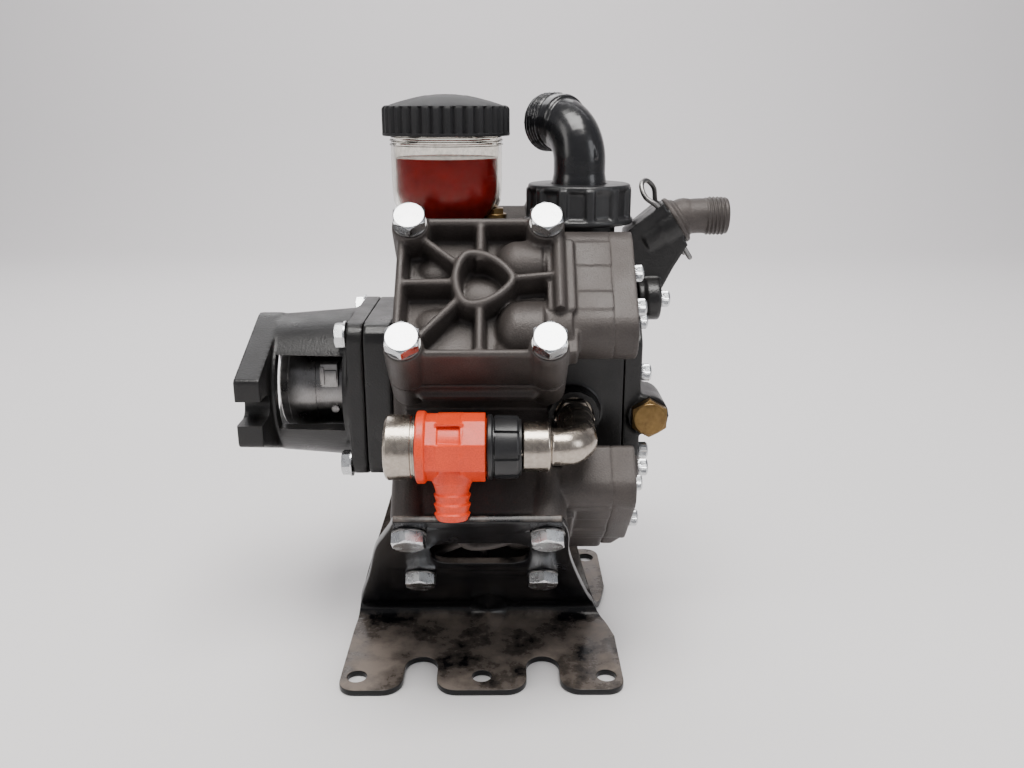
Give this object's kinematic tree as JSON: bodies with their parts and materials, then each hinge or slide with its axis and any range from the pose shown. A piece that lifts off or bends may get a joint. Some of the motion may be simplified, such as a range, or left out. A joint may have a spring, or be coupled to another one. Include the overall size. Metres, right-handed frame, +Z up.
{
  "type": "pressure washer pump",
  "caption": "Diaphragm pressure washer pump with radial heads, oil reservoir, suction elbow, delivery tail, relief valve, foot plates and flanged motor adapter.",
  "frame": {"origin": "centre of the bounding box, at the underside of the foot plates", "axes": "+Z up, +X from the motor adapter towards the delivery tail along the crankshaft, +Y away from the relief valve"},
  "size_m": [0.2835, 0.2458, 0.3402],
  "materials": {
    "cast_aluminium": "matt, bead-blasted casting",
    "black_casting": "satin black casting",
    "black_paint": "gloss black paint, worn and dusty",
    "zinc": "bright zinc plated",
    "nickel": "nickel plated brass",
    "steel": "machined steel",
    "brass": "dull brass",
    "black_plastic": "moulded black plastic",
    "gloss_black_plastic": "glossy black plastic",
    "orange_plastic": "orange-red moulded plastic",
    "clear_plastic": "clear moulded plastic",
    "rubber": "black rubber"
  },
  "bodies": {
    "casing": {"crankcase": "cast_aluminium", "rear_manifold": "black_casting", "manifold_cover": "black_casting", "drive_end_cover": "black_casting", "motor_adapter": "black_casting", "head_front_upper": "cast_aluminium", "valve_cover_front_upper": "cast_aluminium", "diaphragm_front_upper": "rubber", "head_bolt_front_upper_1": "zinc", "head_bolt_front_upper_2": "zinc", "head_bolt_front_upper_3": "zinc", "head_bolt_front_upper_4": "zinc", "head_front_lower": "cast_aluminium", "valve_cover_front_lower": "cast_aluminium", "diaphragm_front_lower": "rubber", "head_bolt_front_lower_1": "zinc", "head_bolt_front_lower_2": "zinc", "head_bolt_front_lower_3": "zinc", "head_bolt_front_lower_4": "zinc", "head_rear_lower": "cast_aluminium", "valve_cover_rear_lower": "cast_aluminium", "diaphragm_rear_lower": "rubber", "head_bolt_rear_lower_1": "zinc", "head_bolt_rear_lower_2": "zinc", "head_bolt_rear_lower_3": "zinc", "head_bolt_rear_lower_4": "zinc", "head_rear_upper": "cast_aluminium", "valve_cover_rear_upper": "cast_aluminium", "diaphragm_rear_upper": "rubber", "head_bolt_rear_upper_1": "zinc", "head_bolt_rear_upper_2": "zinc", "head_bolt_rear_upper_3": "zinc", "head_bolt_rear_upper_4": "zinc", "foot_front": "black_paint", "foot_rear": "black_paint", "front_bearing": "steel", "rear_bearing": "steel", "shaft_seal": "rubber", "reservoir_bowl": "clear_plastic", "outlet_socket": "black_casting", "relief_body": "orange_plastic", "relief_cap": "nickel", "relief_spring": "steel", "relief_elbow": "nickel", "relief_nipple": "nickel", "brass_plug": "brass"},
    "crank": {"crankshaft": "steel", "coupling_sleeve": "steel"},
    "piston_front_upper": {"piston_front_upper": "steel"},
    "piston_front_lower": {"piston_front_lower": "steel"},
    "piston_rear_lower": {"piston_rear_lower": "steel"},
    "piston_rear_upper": {"piston_rear_upper": "steel"},
    "cap_carrier": {"cap_seal": "rubber"},
    "cap": {"reservoir_cap": "black_plastic"},
    "suction_nut": {"suction_nut": "black_plastic"},
    "suction_elbow": {"suction_elbow": "gloss_black_plastic"},
    "outlet_tail": {"outlet_tail": "black_casting"},
    "u_pin": {"outlet_u_pin": "steel"},
    "union_nut": {"relief_union_nut": "black_plastic"},
    "poppet": {"relief_poppet": "brass"}
  },
  "joints": [
    {"name": "shaft_spin", "type": "hinge", "parent": "casing", "child": "crank", "pos_m": [-0.00525, 0.00364, 0.167], "axis": [1, 0, 0], "continuous": true},
    {"name": "piston_front_upper_stroke", "type": "slide", "parent": "casing", "child": "piston_front_upper", "axis": [0, -0.7071, 0.7071], "range_m": [-0.004, 0.004], "deforming": ["diaphragm_front_upper"]},
    {"name": "piston_front_lower_stroke", "type": "slide", "parent": "casing", "child": "piston_front_lower", "axis": [0, -0.7071, -0.7071], "range_m": [-0.004, 0.004], "deforming": ["diaphragm_front_lower"]},
    {"name": "piston_rear_lower_stroke", "type": "slide", "parent": "casing", "child": "piston_rear_lower", "axis": [0, 0.7071, -0.7071], "range_m": [-0.004, 0.004], "deforming": ["diaphragm_rear_lower"]},
    {"name": "piston_rear_upper_stroke", "type": "slide", "parent": "casing", "child": "piston_rear_upper", "axis": [0, 0.7071, 0.7071], "range_m": [-0.004, 0.004], "deforming": ["diaphragm_rear_upper"]},
    {"name": "cap_lift", "type": "slide", "parent": "casing", "child": "cap_carrier", "axis": [0, 0, 1], "range_m": [0, 0.012]},
    {"name": "cap_turn", "type": "hinge", "parent": "cap_carrier", "child": "cap", "pos_m": [-0.02465, 0.00364, 0.317], "axis": [0, 0, 1], "range_deg": [0, 1080]},
    {"name": "suction_nut_turn", "type": "hinge", "parent": "casing", "child": "suction_nut", "pos_m": [0.05315, 0.00364, 0.277], "axis": [0, 0, 1], "continuous": true},
    {"name": "suction_elbow_swivel", "type": "hinge", "parent": "casing", "child": "suction_elbow", "pos_m": [0.05315, 0.00364, 0.287], "axis": [0, 0, 1], "range_deg": [-45, 90]},
    {"name": "outlet_tail_swivel", "type": "hinge", "parent": "casing", "child": "outlet_tail", "pos_m": [0.11275, 0.00364, 0.268], "axis": [0.8387, 0, 0.5446], "continuous": true},
    {"name": "u_pin_pull", "type": "slide", "parent": "casing", "child": "u_pin", "axis": [-0.5446, 0, 0.8387], "range_m": [0, 0.04]},
    {"name": "union_nut_turn", "type": "hinge", "parent": "casing", "child": "union_nut", "pos_m": [0.00875, -0.10436, 0.1635], "axis": [1, 0, 0], "continuous": true},
    {"name": "poppet_lift", "type": "slide", "parent": "casing", "child": "poppet", "axis": [-1, 0, 0], "range_m": [0, 0.006], "stiffness_N_per_m": 400, "springref_m": -0.001, "deforming": ["relief_spring"]}
  ],
  "couplings": [
    {"joint": "piston_rear_lower_stroke", "follows": "piston_front_upper_stroke", "ratio": -1},
    {"joint": "piston_rear_upper_stroke", "follows": "piston_front_lower_stroke", "ratio": -1},
    {"joint": "cap_lift", "follows": "cap_turn", "m_per_rad": 0.00063662}
  ]
}
